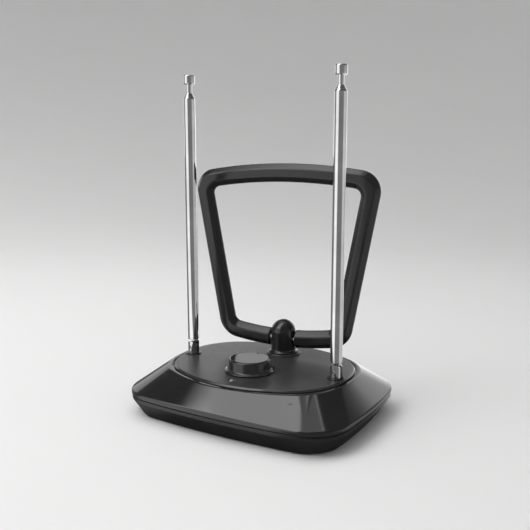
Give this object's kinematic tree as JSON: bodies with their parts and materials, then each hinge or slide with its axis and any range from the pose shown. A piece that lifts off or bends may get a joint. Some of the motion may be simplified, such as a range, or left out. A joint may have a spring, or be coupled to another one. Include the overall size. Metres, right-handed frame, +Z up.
{
  "type": "indoor television antenna",
  "caption": "Tabletop rabbit ears antenna: telescopic chrome rods and a tilting loop on a weighted black base with a gain knob.",
  "frame": {"origin": "centre of the base on the surface that it stands on", "axes": "+X along the line of the two rods, towards the right as seen from the front; the front with the knob faces -Y; +Z up"},
  "size_m": [0.146, 0.1103, 0.202],
  "materials": {
    "gloss_black": "high gloss moulded plastic",
    "satin_black": "satin moulded plastic",
    "matt_black": "fine matt moulded plastic",
    "knob_black": "semi-gloss moulded plastic",
    "post_black": "semi-gloss moulded plastic",
    "frame_black": "semi-gloss moulded plastic",
    "rubber": "matt rubber",
    "chrome": "polished chrome plating",
    "plain_steel": "plain steel",
    "zinc_steel": "zinc plated steel",
    "tin_plate": "tin plated sheet",
    "nickel": "nickel plated brass",
    "aluminium": "turned aluminium",
    "spring_brass": "spring brass",
    "board_green": "solder-masked board",
    "white_plastic": "white moulded plastic",
    "lamp_lens": "diffuse lamp lens"
  },
  "bodies": {
    "base": {"lower_shell": "satin_black", "upper_shell": "gloss_black", "top_deck": "matt_black", "rubber_feet": "rubber", "case_screws": "zinc_steel", "ballast_plate": "plain_steel", "circuit_board": "board_green", "board_screws": "zinc_steel", "shielding_can": "tin_plate", "rod_contacts": "spring_brass", "gain_potentiometer": "satin_black", "potentiometer_nut": "zinc_steel", "status_lamp": "lamp_lens", "connector_panel": "satin_black", "coax_socket": "nickel", "coax_insulator": "white_plastic", "coax_nut": "nickel", "power_inlet": "satin_black", "left_rod_bush": "satin_black", "right_rod_bush": "satin_black", "left_wave_washer": "spring_brass", "right_wave_washer": "spring_brass", "post_collar": "matt_black", "post_wave_washer": "spring_brass"},
    "knob": {"gain_knob": "knob_black", "potentiometer_shaft": "aluminium"},
    "loop_post": {"loop_post_front": "post_black", "loop_post_rear": "post_black", "loop_pivot_bush": "white_plastic", "post_screw": "zinc_steel", "post_clip": "zinc_steel"},
    "loop": {"loop_frame_front": "frame_black", "loop_frame_rear": "frame_black", "loop_conductor": "spring_brass", "loop_pivot_shaft": "zinc_steel"},
    "left_swivel": {"left_swivel_stud": "plain_steel", "left_stud_clip": "zinc_steel"},
    "left_rod": {"left_knuckle": "chrome", "left_knuckle_rivet": "zinc_steel", "left_outer_tube": "chrome"},
    "left_second_section": {"left_second_tube": "chrome"},
    "left_third_section": {"left_third_tube": "chrome"},
    "left_inner_section": {"left_inner_rod": "chrome", "left_tip_cap": "chrome"},
    "right_swivel": {"right_swivel_stud": "plain_steel", "right_stud_clip": "zinc_steel"},
    "right_rod": {"right_knuckle": "chrome", "right_knuckle_rivet": "zinc_steel", "right_outer_tube": "chrome"},
    "right_second_section": {"right_second_tube": "chrome"},
    "right_third_section": {"right_third_tube": "chrome"},
    "right_inner_section": {"right_inner_rod": "chrome", "right_tip_cap": "chrome"}
  },
  "joints": [
    {"name": "knob_turn", "type": "hinge", "parent": "base", "child": "knob", "pos_m": [0, -0.0143, 0.0283], "axis": [0, 0, 1], "range_deg": [-150, 150]},
    {"name": "loop_swivel", "type": "hinge", "parent": "base", "child": "loop_post", "pos_m": [0, 0.0275, 0.0283], "axis": [0, 0, 1], "range_deg": [-26, 14]},
    {"name": "loop_tilt", "type": "hinge", "parent": "loop_post", "child": "loop", "pos_m": [0, 0.0275, 0.03835], "axis": [-0.9945, -0.1045, 0], "range_deg": [0, 90]},
    {"name": "left_rod_swivel", "type": "hinge", "parent": "base", "child": "left_swivel", "pos_m": [-0.05, -0.0018, 0.0329], "axis": [0, 0, 1], "range_deg": [-75, 75]},
    {"name": "left_rod_tilt", "type": "hinge", "parent": "left_swivel", "child": "left_rod", "pos_m": [-0.05, -0.0018, 0.0329], "axis": [0, -1, 0], "range_deg": [0, 85]},
    {"name": "left_second_slide", "type": "slide", "parent": "left_rod", "child": "left_second_section", "axis": [0, 0, 1], "range_m": [0, 0.135]},
    {"name": "left_third_slide", "type": "slide", "parent": "left_second_section", "child": "left_third_section", "axis": [0, 0, 1], "range_m": [0, 0.135]},
    {"name": "left_inner_slide", "type": "slide", "parent": "left_third_section", "child": "left_inner_section", "axis": [0, 0, 1], "range_m": [0, 0.135]},
    {"name": "right_rod_swivel", "type": "hinge", "parent": "base", "child": "right_swivel", "pos_m": [0.05, -0.0018, 0.0329], "axis": [0, 0, 1], "range_deg": [-75, 75]},
    {"name": "right_rod_tilt", "type": "hinge", "parent": "right_swivel", "child": "right_rod", "pos_m": [0.05, -0.0018, 0.0329], "axis": [0, 1, 0], "range_deg": [0, 85]},
    {"name": "right_second_slide", "type": "slide", "parent": "right_rod", "child": "right_second_section", "axis": [0, 0, 1], "range_m": [0, 0.135]},
    {"name": "right_third_slide", "type": "slide", "parent": "right_second_section", "child": "right_third_section", "axis": [0, 0, 1], "range_m": [0, 0.135]},
    {"name": "right_inner_slide", "type": "slide", "parent": "right_third_section", "child": "right_inner_section", "axis": [0, 0, 1], "range_m": [0, 0.135]}
  ]
}
